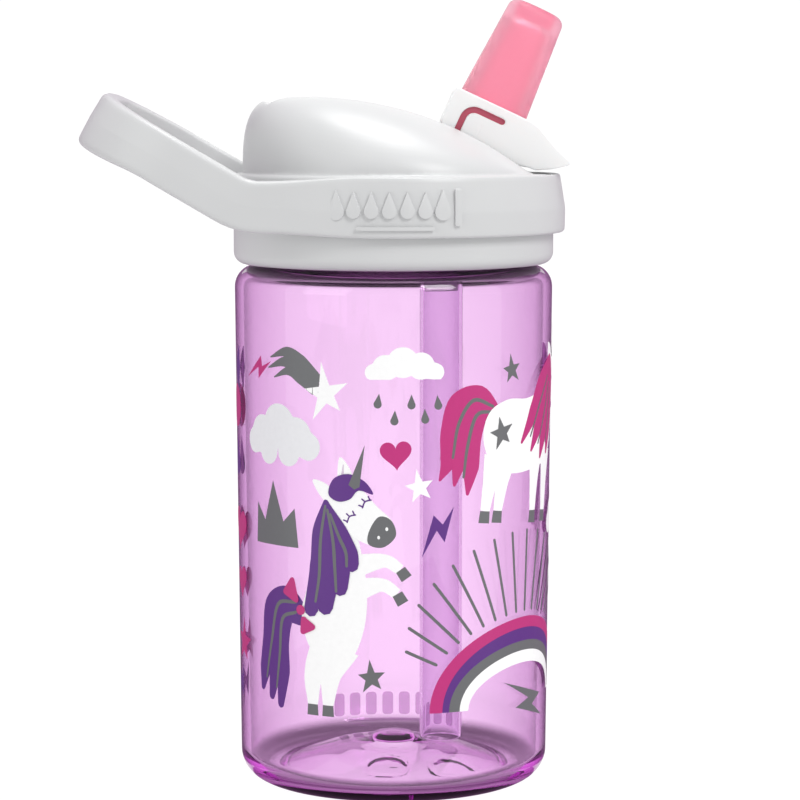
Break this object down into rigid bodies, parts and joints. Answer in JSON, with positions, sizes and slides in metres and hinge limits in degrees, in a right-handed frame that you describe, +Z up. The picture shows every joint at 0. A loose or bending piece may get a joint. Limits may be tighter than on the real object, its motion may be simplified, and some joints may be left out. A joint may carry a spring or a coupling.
{
  "type": "water bottle",
  "caption": "Clear tinted kids' water bottle with a screw cap, a rigid carry loop and a flip-up spout with a soft bite valve and a straw.",
  "frame": {"origin": "middle of the footprint's box on the floor, with the bottle's own axis 15.4 mm towards +X", "axes": "+Z up along the bottle, +X towards the drinking spout, -X towards the carry loop, +Y across"},
  "size_m": [0.1113, 0.0788, 0.1798],
  "materials": {
    "tinted_copolyester": "clear lilac tint, glossy",
    "white_polypropylene": "white satin moulding with a fine texture",
    "white_gloss_polypropylene": "white semi-gloss moulding",
    "clear_straw": "clear extruded tube",
    "pink_silicone": "translucent pink silicone, soft sheen",
    "clear_silicone": "milky silicone"
  },
  "bodies": {
    "bottle": {"bottle_body": "tinted_copolyester"},
    "gasket": {"cap_gasket": "clear_silicone"},
    "cap": {"threaded_collar": "white_polypropylene", "cap_cover": "white_polypropylene", "carry_handle": "white_polypropylene", "straw": "clear_straw", "port_seal": "clear_silicone", "vent_valve": "clear_silicone"},
    "spout": {"flip_spout": "white_gloss_polypropylene", "bite_valve": "pink_silicone"}
  },
  "joints": [
    {"name": "cap_lift", "type": "slide", "parent": "bottle", "child": "gasket", "axis": [0, 0, 1], "range_m": [0, 0.016]},
    {"name": "cap_turn", "type": "hinge", "parent": "gasket", "child": "cap", "pos_m": [0.0154, 0, 0], "axis": [0, 0, 1], "range_deg": [0, 720]},
    {"name": "spout_flip", "type": "hinge", "parent": "cap", "child": "spout", "pos_m": [0.0316, 0, 0.1414], "axis": [0, -1, 0], "range_deg": [0, 103]}
  ],
  "couplings": [
    {"joint": "cap_lift", "follows": "cap_turn", "m_per_rad": 0.0012732}
  ]
}
